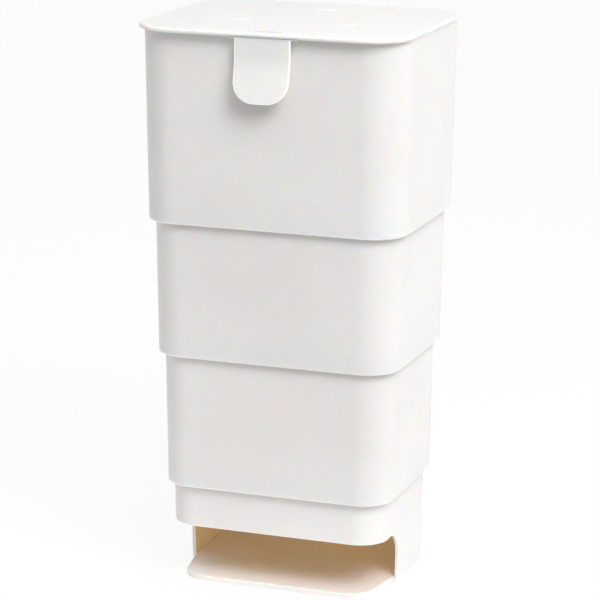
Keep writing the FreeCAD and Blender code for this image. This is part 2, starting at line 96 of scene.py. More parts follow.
def add_node(
    tree: bpy.types.NodeTree,
    kind: str,
    settings: Optional[dict[str, object]] = None,
    values: Optional[dict[str, object]] = None,
    links: Optional[dict[str, bpy.types.NodeSocket]] = None,
) -> bpy.types.Node:
    """Add one node with its settings and links.

    Args:
        tree: node tree that takes the node.
        kind: Blender's name for the node type.
        settings: properties of the node itself.
        values: input sockets, by name or index, and the values they hold.
        links: input sockets, by name or index, and the outputs that feed them.

    Returns:
        The new node.
    """
    node = tree.nodes.new(kind)
    for key, value in (settings or {}).items():
        setattr(node, key, value)
    for key, value in (values or {}).items():
        node.inputs[key].default_value = value
    for key, output in (links or {}).items():
        tree.links.new(output, node.inputs[key])
    return node


def new_material(name: str) -> bpy.types.Material:
    """Make a material with an empty node tree.

    Args:
        name: the material's name.

    Returns:
        The material.
    """
    material = bpy.data.materials.new(name)
    material.use_nodes = True
    material.node_tree.nodes.clear()
    return material


def per_metre(size_mm: float) -> float:
    """Texture scale that repeats a pattern every size_mm."""
    return 1.0 / (size_mm * MM)


@dataclass(frozen=True)
class MouldedPolypropylene:
    """Polypropylene moulded in a polished steel tool.

    The eye sees a soft satin sheen over an even milky white. Long slow ripples from shrinkage bend the
    reflections, faint upright lines are left by the polishing of the tool, and edges are scuffed duller.
    Rounded edges also carry a painted glow, an emission in place of light that leaks out of the wall there,
    and a painted glow can be laid over every face as well.
    """

    name: str
    colour: str = "F1F0F0"
    shade: str = "EDEBEA"          # where the melt flowed slower and looks a little denser
    roughness: float = 0.30
    ior: float = 1.49
    ripple_mm: float = 55.0        # from crest to crest of the shrinkage ripples
    ripple_height_mm: float = 0.05
    peel_mm: float = 1.6           # orange peel is about 0.5 mm across; drawn coarser so that it shows
    peel_height_mm: float = 0.0016
    polish_mm: float = 1.2         # polishing lines are about 0.3 mm apart; drawn coarser so that they show
    flow_mm: float = 80.0
    scuff_mm: float = 9.0
    scatter_mm: float = 2.2        # how far light wanders, so a 2 mm wall lets some of it through
    edge_scuff: float = 0.08       # how much rougher the handled edges are
    painted_edge_glow: float = 0.25        # painted glow on rounded edges: emission in place of light that runs along inside a wall and comes out at its edges
    painted_wall_glow: float = 0.0         # painted glow over every face: emission in place of light that comes through a wall into a closed space
    painted_glow_colour: str = "FFFFFF"
    seed: float = 0.0

    def make(self) -> bpy.types.Material:
        """Build the material.

        Returns:
            The material, with every pattern in object space at real size.
        """
        material = new_material(self.name)
        tree = material.node_tree
        place = add_node(tree, "ShaderNodeTexCoord").outputs["Object"]
        moved = add_node(
            tree, "ShaderNodeMapping", values={"Location": (self.seed, self.seed * 0.7, self.seed * 0.3)},
            links={"Vector": place},
        ).outputs["Vector"]
        flow = add_node(
            tree, "ShaderNodeTexNoise",
            values={"Scale": per_metre(self.flow_mm), "Detail": 2.0, "Roughness": 0.4},
            links={"Vector": moved},
        ).outputs["Fac"]
        tone = add_node(tree, "ShaderNodeValToRGB", links={"Fac": flow})
        tone.color_ramp.elements[0].position = 0.35
        tone.color_ramp.elements[0].color = linear(self.shade)
        tone.color_ramp.elements[1].position = 0.62
        tone.color_ramp.elements[1].color = linear(self.colour)
        # polishing lines run up the wall, so the pattern is squeezed along Z
        drawn = add_node(
            tree, "ShaderNodeMapping", values={"Scale": (1.0, 1.0, 0.02)}, links={"Vector": moved},
        ).outputs["Vector"]
        polish = add_node(
            tree, "ShaderNodeTexNoise", values={"Scale": per_metre(self.polish_mm), "Detail": 3.0},
            links={"Vector": drawn},
        ).outputs["Fac"]
        scuff = add_node(
            tree, "ShaderNodeTexNoise",
            values={"Scale": per_metre(self.scuff_mm), "Detail": 5.0, "Roughness": 0.62},
            links={"Vector": moved},
        ).outputs["Fac"]
        handled = add_node(
            tree, "ShaderNodeMapRange",
            values={"From Min": 0.35, "From Max": 0.75, "To Min": 0.0, "To Max": 0.07},
            links={"Value": scuff},
        ).outputs["Result"]
        lines = add_node(
            tree, "ShaderNodeMapRange",
            values={"To Min": self.roughness - 0.025, "To Max": self.roughness + 0.025},
            links={"Value": polish},
        ).outputs["Result"]
        rounded = add_node(tree, "ShaderNodeAttribute", {"attribute_name": EDGE_MARK}).outputs["Fac"]
        edge = add_node(
            tree, "ShaderNodeMath", {"operation": "MULTIPLY"}, {1: self.edge_scuff}, {0: rounded},
        ).outputs[0]
        # painted glow: emission on the rounded edge facets, plus the painted wall glow over every face
        glow = add_node(
            tree, "ShaderNodeMath", {"operation": "MULTIPLY_ADD"}, {1: self.painted_edge_glow, 2: self.painted_wall_glow},
            {0: rounded},
        ).outputs[0]
        dull = add_node(tree, "ShaderNodeMath", {"operation": "ADD"}, links={0: lines, 1: handled}).outputs[0]
        rough = add_node(tree, "ShaderNodeMath", {"operation": "ADD"}, links={0: dull, 1: edge}).outputs[0]
        ripple = add_node(
            tree, "ShaderNodeTexNoise", values={"Scale": per_metre(self.ripple_mm), "Detail": 0.0},
            links={"Vector": moved},
        ).outputs["Fac"]
        peel = add_node(
            tree, "ShaderNodeTexNoise", values={"Scale": per_metre(self.peel_mm), "Detail": 1.0},
            links={"Vector": moved},
        ).outputs["Fac"]
        long_bump = add_node(
            tree, "ShaderNodeBump", values={"Strength": 1.0, "Distance": self.ripple_height_mm * MM},
            links={"Height": ripple},
        ).outputs["Normal"]
        bump = add_node(
            tree, "ShaderNodeBump", values={"Strength": 1.0, "Distance": self.peel_height_mm * MM},
            links={"Height": peel, "Normal": long_bump},
        ).outputs["Normal"]
        shader = add_node(
            tree, "ShaderNodeBsdfPrincipled",
            values={
                "IOR": self.ior, "Subsurface Weight": 1.0, "Subsurface Radius": (1.0, 0.72, 0.45),
                "Subsurface Scale": self.scatter_mm * MM, "Emission Color": linear(self.painted_glow_colour),
            },
            links={
                "Base Color": tone.outputs["Color"], "Roughness": rough, "Normal": bump,
                "Emission Strength": glow,
            },
        )
        add_node(tree, "ShaderNodeOutputMaterial", links={"Surface": shader.outputs["BSDF"]})
        return material


@dataclass(frozen=True)
class MouldedRubber:
    """Rubber pressed in a sand-blasted tool: matt, with a fine grain and a little pale bloom."""

    name: str
    colour: str
    bloom: str
    roughness: float = 0.72
    ior: float = 1.52
    grain_mm: float = 0.5          # blast grain is about 0.15 mm; drawn coarser so that it shows
    grain_height_mm: float = 0.03
    bloom_mm: float = 6.0

    def make(self) -> bpy.types.Material:
        """Build the material.

        Returns:
            The material.
        """
        material = new_material(self.name)
        tree = material.node_tree
        place = add_node(tree, "ShaderNodeTexCoord").outputs["Object"]
        patches = add_node(
            tree, "ShaderNodeTexNoise", values={"Scale": per_metre(self.bloom_mm), "Detail": 4.0},
            links={"Vector": place},
        ).outputs["Fac"]
        tone = add_node(tree, "ShaderNodeValToRGB", links={"Fac": patches})
        tone.color_ramp.elements[0].position = 0.4
        tone.color_ramp.elements[0].color = linear(self.colour)
        tone.color_ramp.elements[1].position = 0.75
        tone.color_ramp.elements[1].color = linear(self.bloom)
        grain = add_node(
            tree, "ShaderNodeTexNoise", values={"Scale": per_metre(self.grain_mm), "Detail": 2.0},
            links={"Vector": place},
        ).outputs["Fac"]
        rough = add_node(
            tree, "ShaderNodeMapRange",
            values={"To Min": self.roughness - 0.08, "To Max": self.roughness + 0.08},
            links={"Value": grain},
        ).outputs["Result"]
        bump = add_node(
            tree, "ShaderNodeBump", values={"Strength": 1.0, "Distance": self.grain_height_mm * MM},
            links={"Height": grain},
        ).outputs["Normal"]
        shader = add_node(
            tree, "ShaderNodeBsdfPrincipled", values={"IOR": self.ior},
            links={"Base Color": tone.outputs["Color"], "Roughness": rough, "Normal": bump},
        )
        add_node(tree, "ShaderNodeOutputMaterial", links={"Surface": shader.outputs["BSDF"]})
        return material


@dataclass(frozen=True)
class DrawnStainlessWire:
    """Stainless wire pulled through a die: bright, with fine lines along its length."""

    name: str
    colour: str = "C9C7C2"
    stain: str = "A9A6A0"
    roughness: float = 0.26
    line_mm: float = 0.25          # die lines are about 0.05 mm apart; drawn coarser so that they show
    line_height_mm: float = 0.008
    stain_mm: float = 5.0

    def make(self) -> bpy.types.Material:
        """Build the material.

        Returns:
            The material.
        """
        material = new_material(self.name)
        tree = material.node_tree
        place = add_node(tree, "ShaderNodeTexCoord").outputs["Object"]
        # die lines run along the pin, which lies along X
        drawn = add_node(
            tree, "ShaderNodeMapping", values={"Scale": (0.03, 1.0, 1.0)}, links={"Vector": place},
        ).outputs["Vector"]
        lines = add_node(
            tree, "ShaderNodeTexNoise", values={"Scale": per_metre(self.line_mm), "Detail": 2.0},
            links={"Vector": drawn},
        ).outputs["Fac"]
        patches = add_node(
            tree, "ShaderNodeTexNoise", values={"Scale": per_metre(self.stain_mm), "Detail": 3.0},
            links={"Vector": place},
        ).outputs["Fac"]
        tone = add_node(tree, "ShaderNodeValToRGB", links={"Fac": patches})
        tone.color_ramp.elements[0].color = linear(self.stain)
        tone.color_ramp.elements[1].position = 0.6
        tone.color_ramp.elements[1].color = linear(self.colour)
        rough = add_node(
            tree, "ShaderNodeMapRange",
            values={"To Min": self.roughness - 0.06, "To Max": self.roughness + 0.10},
            links={"Value": lines},
        ).outputs["Result"]
        bump = add_node(
            tree, "ShaderNodeBump", values={"Strength": 1.0, "Distance": self.line_height_mm * MM},
            links={"Height": lines},
        ).outputs["Normal"]
        shader = add_node(
            tree, "ShaderNodeBsdfPrincipled", values={"Metallic": 1.0},
            links={"Base Color": tone.outputs["Color"], "Roughness": rough, "Normal": bump},
        )
        add_node(tree, "ShaderNodeOutputMaterial", links={"Surface": shader.outputs["BSDF"]})
        return material


@dataclass
class Finishes:
    """Every material of the compactor, made once and shared."""

    shell: bpy.types.Material = field(init=False)
    # inner faces: white plastic given a painted warm shade and a painted glow
    inside: bpy.types.Material = field(init=False)
    lid: bpy.types.Material = field(init=False)
    tab: bpy.types.Material = field(init=False)
    tray: bpy.types.Material = field(init=False)
    slide_pad: bpy.types.Material = field(init=False)
    foot: bpy.types.Material = field(init=False)
    pin: bpy.types.Material = field(init=False)

    def __post_init__(self) -> None:
        """Make the materials."""
        self.shell = MouldedPolypropylene("moulded_polypropylene_shell").make()
        # the inner faces are painted tan, with a warm painted glow: painted shade and painted light in place
        # of light that has come through or off warm white walls many times
        self.inside = MouldedPolypropylene(
            "inner_face_painted_warm_shade_and_glow", "E0CEB0", "D8C4A2", roughness=0.42, painted_edge_glow=0.0,
            painted_wall_glow=0.18, painted_glow_colour="D8BC8C", seed=0.5,
        ).make()
        self.lid = MouldedPolypropylene(
            "moulded_polypropylene_lid", "F8F8F8", "F6F5F5", edge_scuff=0.0, painted_edge_glow=0.0, seed=1.3,
        ).make()
        self.tab = MouldedPolypropylene("moulded_polypropylene_tab", "F4F3F3", "F1EFEE", seed=2.1).make()
        self.tray = MouldedPolypropylene(
            "moulded_polypropylene_tray", "F1EFEE", "ECEAE8", edge_scuff=0.0, painted_edge_glow=0.0, seed=3.7,
        ).make()
        self.slide_pad = MouldedRubber("pressed_silicone_slide_pad", "6A6A6A", "858583").make()
        self.foot = MouldedRubber("die_cut_rubber_foot", "9A9894", "B4B2AD").make()
        self.pin = DrawnStainlessWire("drawn_stainless_pin").make()


# ---------------------------------------------------------------- mesh making


class MeshMaker:
    """Collects rings of points and the faces between them, and turns them into one smooth mesh."""

    def __init__(self) -> None:
        """Start empty."""
        self.points: list[Vector] = []
        self.faces: list[tuple[int, ...]] = []
        self.slots: list[int] = []

    def ring(self, points: Sequence[Vector]) -> list[int]:
        """Add points.

        Args:
            points: the points, in order.

        Returns:
            Their indices.
        """
        start = len(self.points)
        self.points.extend(points)
        return list(range(start, len(self.points)))

    def band(self, first: Sequence[int], second: Sequence[int], closed: bool = True, slot: int = 0) -> None:
        """Join two rings of the same length with quads.

        Args:
            first: indices of one ring.
            second: indices of the other.
            closed: whether the rings close on themselves.
            slot: material slot of the quads.
        """
        count = len(first)
        for i in range(count if closed else count - 1):
            j = (i + 1) % count
            self.faces.append((first[i], first[j], second[j], second[i]))
            self.slots.append(slot)

    def cap(self, ring: Sequence[int], slot: int = 0) -> None:
        """Fill a flat ring with one face.

        Args:
            ring: indices of the ring.
            slot: material slot of the face.
        """
        self.faces.append(tuple(ring))
        self.slots.append(slot)

    def stack(
        self, rings: Sequence[Sequence[Vector]], loop: bool = False, capped: bool = False,
        slots: Optional[Sequence[int]] = None, closed: bool = True,
    ) -> list[list[int]]:
        """Skin a stack of rings.

        Args:
            rings: the rings, each with as many points as the next.
            loop: whether the last ring joins the first.
            capped: whether the first and last rings are filled.
            slots: material slot of the band that follows each ring.
            closed: whether each ring closes on itself.

        Returns:
            The indices of every ring.
        """
        made = [self.ring(r) for r in rings]
        pairs = list(zip(made, made[1:])) + ([(made[-1], made[0])] if loop else [])
        for i, (a, b) in enumerate(pairs):
            self.band(a, b, closed, slots[i] if slots else 0)
        if capped:
            self.cap(list(reversed(made[0])))
            self.cap(made[-1])
        return made

    def build(self, name: str, materials: Sequence[bpy.types.Material]) -> bpy.types.Object:
        """Make the object.

        Args:
            name: the object's name.
            materials: its material slots, in order.

        Returns:
            The object, linked to the scene.
        """
        mesh = bpy.data.meshes.new(name)
        work = bmesh.new()
        corners = [work.verts.new(p) for p in self.points]
        for face, slot in zip(self.faces, self.slots):
            made = work.faces.new([corners[i] for i in face])
            made.material_index = slot
        bmesh.ops.remove_doubles(work, verts=work.verts, dist=1e-7)
        bmesh.ops.recalc_face_normals(work, faces=work.faces)
        work.to_mesh(mesh)
        work.free()
        for material in materials:
            mesh.materials.append(material)
        made_object = bpy.data.objects.new(name, mesh)
        bpy.context.scene.collection.objects.link(made_object)
        smooth(made_object)
        return made_object


def smooth(target: bpy.types.Object) -> None:
    """Shade smooth, with sharp edges left sharp and flats kept flat, and mark the facets of rounded edges.

    Args:
        target: the object.
    """
    work = bmesh.new()
    work.from_mesh(target.data)
    mark = work.faces.layers.float.get(EDGE_MARK) or work.faces.layers.float.new(EDGE_MARK)
    for edge in work.edges:
        edge.smooth = edge.calc_face_angle(0.0) < CREASE
    for face in work.faces:
        face.smooth = True
        width = face.calc_area() / max(edge.calc_length() for edge in face.edges)
        turn = max(edge.calc_face_angle(0.0) for edge in face.edges)
        face[mark] = float(width < EDGE_FACET and turn > EDGE_TURN)
    work.to_mesh(target.data)
    work.free()
    for old in [m for m in target.modifiers if m.type == "WEIGHTED_NORMAL"]:
        target.modifiers.remove(old)
    weighted = target.modifiers.new("even_flats", "WEIGHTED_NORMAL")
    weighted.keep_sharp = True


class Combine(Enum):
    """Ways to combine two closed meshes."""

    CUT = "DIFFERENCE"
    JOIN = "UNION"


def combine(target: bpy.types.Object, tool: bpy.types.Object, how: Combine) -> None:
    """Cut one closed mesh from another, or join it on, and drop the tool.

    Args:
        target: the mesh that stays.
        tool: the mesh that cuts or joins.
        how: which of the two.
    """
    target.modifiers.clear()
    modifier = target.modifiers.new("combine", "BOOLEAN")
    modifier.operation = how.value
    modifier.solver = "EXACT"
    modifier.object = tool
    graph = bpy.context.evaluated_depsgraph_get()
    made = bpy.data.meshes.new_from_object(target.evaluated_get(graph))
    target.modifiers.clear()
    target.data = made
    bpy.data.objects.remove(tool)


def place_piece(
    piece: bpy.types.Object, body: str, replaces: Optional[str] = None,
) -> bpy.types.Object:
    """Hand a finished piece to the frame.

    Args:
        piece: the object.
        body: body that it rides on.
        replaces: CAD node that it stands for, if any.

    Returns:
        The same object.
    """
    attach(piece, body)
    if replaces:
        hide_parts(replaces)
    LOG.info("%s rides on %s", piece.name, body)
    return piece


def rounding(radius: float, steps: int = ROUND_STEPS) -> list[tuple[float, float]]:
    """Points of a quarter round, as (across, along) pairs.

    Args:
        radius: radius of the round.
        steps: number of facets.

    Returns:
        Pairs from (radius, 0) to (0, radius).
    """
    angles = [QUARTER * i / steps for i in range(steps + 1)]
    return [(radius * (1 - math.sin(a)), radius * (1 - math.cos(a))) for a in angles]


def spread(first: float, last: float, steps: int) -> list[float]:
    """Evenly spaced values from first to last, both included."""
    return [first + (last - first) * i / steps for i in range(steps + 1)]


@dataclass(frozen=True)
class Station:
    """A place on a plan: the point that the wall is offset from, and the way the wall faces there."""

    x: float
    y: float
    face_x: float
    face_y: float


def round_corners(corners: Sequence[tuple[float, float, float]], reach: float) -> list[Station]:
    """Stations all the way round an outline with rounded corners.

    Args:
        corners: (x, y, radius) of each corner before rounding, anticlockwise.
        reach: distance from a station out to the wall, the same for every station.

    Returns:
        The stations, anticlockwise, from the start of the first corner's arc.
    """
    count = len(corners)
    normals = []
    for i in range(count):
        along = Vector(corners[(i + 1) % count][:2]) - Vector(corners[i][:2])
        normals.append(Vector((along.y, -along.x)).normalized())
    arcs: list[list[Station]] = []
    for i, (x, y, radius) in enumerate(corners):
        before, after = normals[i - 1], normals[i]
        centre = Vector((x, y)) - (before + after) * radius / (1 + before.dot(after))
        first = math.atan2(before.y, before.x)
        turn = before.angle(after)
        faces = [Vector((math.cos(a), math.sin(a))) for a in spread(first, first + turn, CORNER_STEPS)]
        arcs.append([Station(*(centre + f * (radius - reach)), f.x, f.y) for f in faces])
    stations: list[Station] = []
    for i, arc in enumerate(arcs):
        start, end = arc[-1], arcs[(i + 1) % count][0]
        stations += arc
        for t in spread(0, 1, SIDE_STEPS)[1:-1]:
            x, y = start.x + (end.x - start.x) * t, start.y + (end.y - start.y) * t
            stations.append(Station(x, y, start.face_x, start.face_y))
    return stations


@dataclass(frozen=True)
class Plan:
    """A rounded-rectangle plan that leans in as it goes down. Its sizes hold at one height."""

    half_width: float
    half_depth: float
    radius: float
    at_z: float
    centre_y: float
    draft: float = DRAFT

    def corners(self) -> list[tuple[float, float, float]]:
        """(x, y, radius) of each corner before rounding, anticlockwise from the rear right."""
        w, d, y, r = self.half_width, self.half_depth, self.centre_y, self.radius
        return [(w, y + d, r), (-w, y + d, r), (-w, y - d, r), (w, y - d, r)]

    def around(self) -> list[Station]:
        """Stations all the way round, anticlockwise from the right end of the rear-right corner."""
        return round_corners(self.corners(), self.radius)

    def front_half(self) -> list[Station]:
        """Stations from the end of the rear-left corner, by the front, to the start of the rear-right one."""
        around = self.around()
        return around[2 * CORNER_STEPS + SIDE_STEPS:] + around[:1]

    def point(self, station: Station, z: float, inset: float = 0.0) -> Vector:
        """Point on the wall at a station.

        Args:
            station: place on the plan.
            z: height.
            inset: distance in from the outside face.

        Returns:
            The point.
        """
        reach = self.radius + self.draft * (z - self.at_z) - inset
        return Vector((station.x + station.face_x * reach, station.y + station.face_y * reach, z))

    def ring(self, z: float, inset: float = 0.0) -> list[Vector]:
        """The whole plan at one height.

        Args:
            z: height.
            inset: distance in from the outside face.

        Returns:
            Its points, anticlockwise.
        """
        return [self.point(s, z, inset) for s in self.around()]

    def front(self, z: float, inset: float = 0.0) -> float:
        """Y of the front face at a height."""
        return self.centre_y - (self.half_depth + self.draft * (z - self.at_z) - inset)

    def inner(self, bottom: float) -> "Plan":
        """Plan of the next stage in.

        Args:
            bottom: height of this stage's bottom edge, where the step is measured.

        Returns:
            The smaller plan.
        """
        shrink = self.draft * (bottom - self.at_z) - STAGE_STEP
        width, depth = self.half_width + shrink, self.half_depth + shrink
        return Plan(width, depth, self.radius - CORNER_DROP, bottom, self.centre_y)


@dataclass(frozen=True)
class Stack:
    """Plans and joint heights of the four stages, read from the solids."""

    upper: Plan
    middle: Plan
    lower: Plan
    base: Plan
    rim: float
    upper_bottom: float
    middle_bottom: float
    lower_bottom: float
    foot: float

    @staticmethod
    def from_frame(depth_difference: float = 19.0 * MM, corner_radius: float = 26.0 * MM) -> "Stack":
        """Read the stack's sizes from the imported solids.

        Args:
            depth_difference: how much less the upper shell's half depth is than its half width.
            corner_radius: the upper shell's corner at its top edge.

        Returns:
            The stack.
        """
        low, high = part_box("upper_shell")
        lower_low, lower_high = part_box("lower_shell")
        centre_y = (lower_low.y + lower_high.y) / 2
        upper = Plan(high.x, high.x - depth_difference, corner_radius, high.z, centre_y)
        middle_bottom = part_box("middle_shell")[0].z
        middle = upper.inner(low.z)
        lower = middle.inner(middle_bottom)
        base = lower.inner(lower_low.z)
        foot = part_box("floor_plate")[0].z
        return Stack(upper, middle, lower, base, high.z, low.z, middle_bottom, lower_low.z, foot)


# ---------------------------------------------------------------- shells


@dataclass
class SlidingShell:
    """One sliding stage: a drafted wall with a lip below, and a collar above if another slides on it."""

    name: str
    body: str
    plan: Plan
    inner: Plan
    outer: Optional[Plan]
    bottom: float
    top: float
    outer_bottom: float = 0.0
    wall: float = WALL

    def profile(self) -> tuple[list[list[Vector]], list[int]]:
        """Rings of the wall's section, from the bottom edge up the outside, over the rim and down the inside.

        Returns:
            The rings, and the material slot of the band after each.
        """
        plan, bottom, top = self.plan, self.bottom, self.top
        rings = [plan.ring(bottom + z, inset) for inset, z in rounding(EDGE_ROUND)]
        wall_top = self.outer_bottom + COLLAR_RISE if self.outer else top - RIM_ROUND
        rings += [plan.ring(z) for z in spread(bottom + EDGE_ROUND, wall_top, WALL_ROWS)[1:]]
        rim_plan, rim_inset = plan, 0.0
        if self.outer:
            rim_plan, rim_inset = self.outer, WALL + COLLAR_CLEARANCE
            rings.append(rim_plan.ring(wall_top, rim_inset + COLLAR_BEVEL))
            rings.append(rim_plan.ring(wall_top + COLLAR_BEVEL, rim_inset))
        rings += [
            rim_plan.ring(top - drop, rim_inset + inset) for inset, drop in reversed(rounding(RIM_ROUND))
        ]
        outside = len(rings)
        rings += [plan.ring(top - drop, self.wall - inset) for inset, drop in rounding(RIM_ROUND)]
        lip_top = bottom + LIP_HEIGHT
        rings += [plan.ring(z, self.wall) for z in spread(top - RIM_ROUND, lip_top, WALL_ROWS)[1:]]
        rings.append(self.inner.ring(lip_top, -LIP_CLEARANCE))
        rings.append(self.inner.ring(bottom + RIM_ROUND, -LIP_CLEARANCE))
        rings.append(self.inner.ring(bottom, -LIP_CLEARANCE - RIM_ROUND))
        lip = 3
        slots = [0] * outside + [1] * (len(rings) - outside - lip) + [0] * lip
        return rings, slots

    def build(self, finishes: Finishes) -> bpy.types.Object:
        """Build, dress and place the shell.

        Args:
            finishes: the materials.

        Returns:
            The shell.
        """
        maker = MeshMaker()
        rings, slots = self.profile()
        maker.stack(rings, loop=True, slots=slots)
        piece = maker.build(self.name + "_moulding", [finishes.shell, finishes.inside])
        if self.outer:
            cut_pad_pockets(piece, self.outer, self.outer_bottom)
        self.add_details(piece)
        smooth(piece)
        return place_piece(piece, self.body, self.name)

    def add_details(self, piece: bpy.types.Object) -> None:
        """Add what only one stage has. A plain stage adds nothing.

        Args:
            piece: the shell's mesh.
        """


@dataclass(frozen=True)
class HingePin:
    """Line and radius of the lid's two hinge pins, which lie end to end along X."""

    y: float
    z: float
    radius: float

    @staticmethod
    def from_frame() -> "HingePin":
        """Read the line and radius from the left pin's box."""
        low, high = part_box("hinge_pin_left")
        return HingePin((low.y + high.y) / 2, (low.z + high.z) / 2, (high.z - low.z) / 2)


@dataclass
class UpperShell(SlidingShell):
    """Upper shell: notches and pin bosses behind for the lid's knuckles and a bead for the latch in front."""

    hinge_x: tuple[float, float] = (-36.0 * MM, 36.0 * MM)
    notch_width: float = 16.0 * MM
    notch_depth: float = 8.2 * MM
    notch_reach: float = 20.0 * MM   # either way from the pin, past both faces of the wall
    notch_rise: float = 5.0 * MM     # past the top edge
    boss_radius: float = 2.9 * MM
    boss_length: float = 6.0 * MM
    pin_grip: float = 4.0 * MM
    pin_play: float = 0.02 * MM
    bead_width: float = 22.0 * MM
    bead_rise: float = 6.8 * MM      # bead's middle below the top edge
    bead_half_height: float = 1.5 * MM
    bead_reach: float = 2.0 * MM     # from the wall's outside face to the bead's nose

    def add_details(self, piece: bpy.types.Object) -> None:
        """Cut the hinge notches and pin holes, and join on the bosses and the bead.

        Args:
            piece: the shell's mesh.
        """
        pin = HingePin.from_frame()
        half_notch = self.notch_width / 2
        for x in self.hinge_x:
            left, right = x - half_notch, x + half_notch
            boss = [
                (pin.y + self.boss_radius * math.cos(a), pin.z + self.boss_radius * math.sin(a))
                for a in spread(QUARTER, 3 * QUARTER, 20)
            ]
            combine(piece, prism_x(boss, left - self.boss_length, left), Combine.JOIN)
            combine(piece, prism_x(boss, right, right + self.boss_length), Combine.JOIN)
            notch = rectangle(
                pin.y - self.notch_reach, pin.y + self.notch_reach, self.top - self.notch_depth,
                self.top + self.notch_rise,
            )
            combine(piece, prism_x(notch, left, right), Combine.CUT)
            hole = circle(pin.y, pin.z, pin.radius + self.pin_play)
            grip = half_notch + self.pin_grip
            combine(piece, prism_x(hole, x - grip, x + grip), Combine.CUT)
        bead_z = self.top - self.bead_rise
        wall_y = self.plan.front(bead_z, WALL / 2)
        nose_y = self.plan.front(bead_z) - self.bead_reach
        reach = 2 * self.bead_half_height
        section = [(wall_y, bead_z - reach), (nose_y, bead_z), (wall_y, bead_z + reach)]
        combine(piece, prism_x(section, -self.bead_width / 2, self.bead_width / 2), Combine.JOIN)


# ---------------------------------------------------------------- cutting shapes


def prism_x(section: Sequence[tuple[float, float]], start: float, end: float) -> bpy.types.Object:
    """Closed prism along X.

    Args:
        section: (y, z) corners of the section.
        start: X of one end.
        end: X of the other.

    Returns:
        The prism.
    """
    maker = MeshMaker()
    maker.stack([[Vector((x, y, z)) for y, z in section] for x in (start, end)], capped=True)
    return maker.build("prism", [])


def prism_z(section: Sequence[tuple[float, float]], low: float, high: float) -> bpy.types.Object:
    """Closed prism along Z.

    Args:
        section: (x, y) corners of the section.
        low: Z of the lower end.
        high: Z of the upper end.

    Returns:
        The prism.
    """
    maker = MeshMaker()
    maker.stack([[Vector((x, y, z)) for x, y in section] for z in (low, high)], capped=True)
    return maker.build("prism", [])


def rectangle(
    first_low: float, first_high: float, second_low: float, second_high: float,
) -> list[tuple[float, float]]:
    """Corners of a rectangle, in order round it."""
    return [
        (first_low, second_low), (first_high, second_low),
        (first_high, second_high), (first_low, second_high),
    ]


def circle(first: float, second: float, radius: float, steps: int = 32) -> list[tuple[float, float]]:
    """Points round a circle, in order."""
    angles = [4 * QUARTER * i / steps for i in range(steps)]
    return [(first + radius * math.cos(a), second + radius * math.sin(a)) for a in angles]


def cut_pad_pockets(
    piece: bpy.types.Object, outer: Plan, outer_bottom: float, width: float = 28.0 * MM,
    height: float = 4.5 * MM, rise: float = 3.5 * MM, depth: float = 0.9 * MM,
) -> None:
    """Cut the pocket of a slide pad in the middle of each side of a collar.

    Args:
        piece: the shell with the collar.
        outer: plan of the stage outside it.
        outer_bottom: height of that stage's bottom edge.
        width: pocket's width.
        height: pocket's height.
        rise: from the collar's lower edge to the pocket.
        depth: pocket's depth.
    """
    low = outer_bottom + COLLAR_RISE + rise
    floor_inset = WALL + COLLAR_CLEARANCE + depth
    corners = ((low, WALL), (low + height, WALL), (low + height, floor_inset), (low, floor_inset))
    leans = [(z, outer.draft * (z - outer.at_z) - inset) for z, inset in corners]
    half = width / 2
    for sign in (-1, 1):
        section = [(outer.centre_y + sign * (outer.half_depth + lean), z) for z, lean in leans]
        combine(piece, prism_x(section, -half, half), Combine.CUT)
        maker = MeshMaker()
        maker.stack([
            [Vector((sign * (outer.half_width + lean), y, z)) for z, lean in leans]
            for y in (outer.centre_y - half, outer.centre_y + half)
        ], capped=True)
        combine(piece, maker.build("pocket", []), Combine.CUT)


def lug_plans(
    base: Plan, z: float, width: float, root: float, reach: float, setback: float = 2.0 * MM,
) -> list[list[tuple[float, float]]]:
    """Plans of the floor plate's three lugs, behind and at both sides, or of the pockets that they lock into.

    Args:
        base: plan of the base.
        z: height at which the base's wall is taken.
        width: a lug's width along the wall.
        root: how far a lug starts in front of the wall's inner face.
        reach: how far it goes into the wall.
        setback: from the start of the rear corner to a side lug.

    Returns:
        The corners of each plan.
    """
    half = width / 2
    lean = base.draft * (z - base.at_z) - BASE_WALL
    back, side = base.centre_y + base.half_depth + lean, base.half_width + lean
    side_y = base.centre_y + base.half_depth - base.radius - setback - half
    plans = [rectangle(-half, half, back - root, back + reach)]
    for sign in (-1, 1):
        across = sorted((sign * (side - root), sign * (side + reach)))
        plans.append(rectangle(*across, side_y - half, side_y + half))
    return plans


# ---------------------------------------------------------------- base and floor


